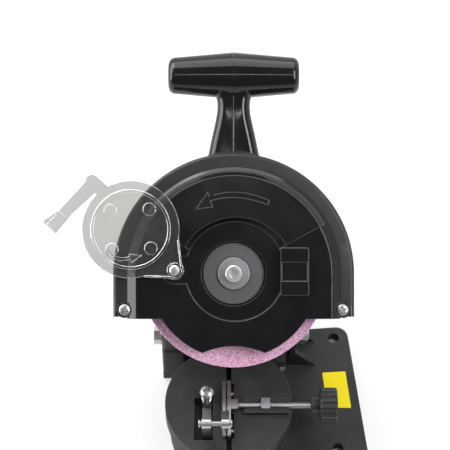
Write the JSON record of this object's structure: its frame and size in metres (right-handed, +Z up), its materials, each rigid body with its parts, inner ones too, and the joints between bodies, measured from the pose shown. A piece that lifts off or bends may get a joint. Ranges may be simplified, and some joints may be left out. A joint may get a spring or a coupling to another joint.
{
  "type": "chainsaw chain sharpener",
  "caption": "Electric bench grinder for saw chain: hinged motor head with guard, clear shield and T-handle above a swivelling chain vise on a ribbed base.",
  "frame": {"origin": "on the bench, straight below the middle of the hinge axle", "axes": "+X to the right along the hinge axle, +Y to the rear, +Z up from the bench"},
  "size_m": [0.2529, 0.2719, 0.2218],
  "materials": {
    "black_paint": "textured black",
    "black_gloss": "glossy black",
    "black_grip": "satin black",
    "black_rubber": "matt black",
    "red_plastic": "glossy red",
    "clear_plastic": "clear",
    "abrasive": "granular pink",
    "zinc": "bright zinc",
    "steel": "machined",
    "spring_steel": "drawn wire",
    "lamination": "stacked sheet",
    "copper": "varnished",
    "brass": "turned",
    "carbon": "matt"
  },
  "bodies": {
    "base": {"base_casting": "black_paint", "hinge_bolt": "zinc", "hinge_washers": "zinc", "hinge_nut": "zinc", "return_spring": "spring_steel", "depth_stop_nut": "zinc"},
    "depth_stop": {"depth_stop_screw": "zinc"},
    "table": {"turntable": "black_paint", "table_stud": "zinc", "fixed_rail": "steel", "rail_screws": "zinc", "clamp_nut": "zinc", "stop_screw": "zinc", "stop_washer": "zinc", "stop_spring": "spring_steel"},
    "table_lock": {"lock_knob": "black_grip", "lock_insert": "brass", "lock_washer": "zinc"},
    "jaw": {"moving_rail": "steel", "rail_guide_pins": "steel"},
    "clamp": {"clamp_screw": "zinc", "clamp_knob": "black_grip"},
    "chain_stop": {"stop_arm": "zinc", "pawl_pin": "zinc"},
    "pawl": {"stop_pawl": "zinc"},
    "head": {"housing_left": "black_gloss", "housing_right": "black_gloss", "neck_screws": "zinc", "front_cover": "black_gloss", "cover_screws": "zinc", "shield_screw": "zinc", "motor_housing": "black_gloss", "motor_screws": "zinc", "motor_end_cap": "black_gloss", "cap_screws": "zinc", "cord_gland": "black_rubber", "front_bearing": "steel", "rear_bearing": "steel", "stator": "lamination", "field_coils": "copper", "brushes": "carbon", "brush_holders": "black_grip", "switch_body": "black_grip", "tilt_bracket": "black_paint", "bracket_screws": "zinc"},
    "rotor": {"grinding_wheel": "abrasive", "inner_flange": "steel", "outer_flange": "steel", "clamp_washer": "zinc", "arbor_screw": "zinc", "motor_shaft": "steel", "armature": "lamination", "commutator": "copper", "fan": "black_grip"},
    "shield": {"eye_shield": "clear_plastic"},
    "switch": {"switch_rocker": "red_plastic"}
  },
  "joints": [
    {"name": "head_tilt", "type": "hinge", "parent": "base", "child": "head", "pos_m": [0, 0, 0.038], "axis": [1, 0, 0], "range_deg": [0, 25], "stiffness_Nm_per_rad": 1.2, "springref_deg": -17.19, "deforming": ["return_spring"]},
    {"name": "wheel_spin", "type": "hinge", "parent": "head", "child": "rotor", "pos_m": [0, 0.00625, 0.12498], "axis": [0, -0.5373, 0.8434], "continuous": true},
    {"name": "shield_swing", "type": "hinge", "parent": "head", "child": "shield", "pos_m": [-0.045, -0.00133, 0.14208], "axis": [0, 0.5373, -0.8434], "range_deg": [0, 140.7]},
    {"name": "switch_tip", "type": "hinge", "parent": "head", "child": "switch", "pos_m": [0, 0.07163, 0.09307], "axis": [1, 0, 0], "range_deg": [0, 16]},
    {"name": "table_swivel", "type": "hinge", "parent": "base", "child": "table", "pos_m": [-0.0038, -0.0666, 0.033], "axis": [0, 0, 1], "range_deg": [-35, 35]},
    {"name": "lock_turn", "type": "hinge", "parent": "table", "child": "table_lock", "pos_m": [-0.0038, -0.0666, 0.012], "axis": [0, 0, 1], "range_deg": [0, 120]},
    {"name": "clamp_turn", "type": "hinge", "parent": "jaw", "child": "clamp", "pos_m": [0, -0.0706, 0.052], "axis": [1, 0, 0], "range_deg": [-452, 1083]},
    {"name": "jaw_slide", "type": "slide", "parent": "table", "child": "jaw", "axis": [1, 0, 0], "range_m": [-0.001, 0.0024]},
    {"name": "stop_swing", "type": "hinge", "parent": "table", "child": "chain_stop", "pos_m": [-0.021, -0.061, 0.038], "axis": [0, 0, 1], "range_deg": [-10, 0]},
    {"name": "pawl_lift", "type": "hinge", "parent": "chain_stop", "child": "pawl", "pos_m": [-0.006, -0.094, 0.068], "axis": [1, 0, 0], "range_deg": [0, 75]},
    {"name": "depth_adjust", "type": "slide", "parent": "base", "child": "depth_stop", "axis": [0, 0, 1], "range_m": [-0.003, 0]}
  ],
  "couplings": [
    {"joint": "clamp_turn", "follows": "jaw_slide", "rad_per_m": 7854}
  ]
}
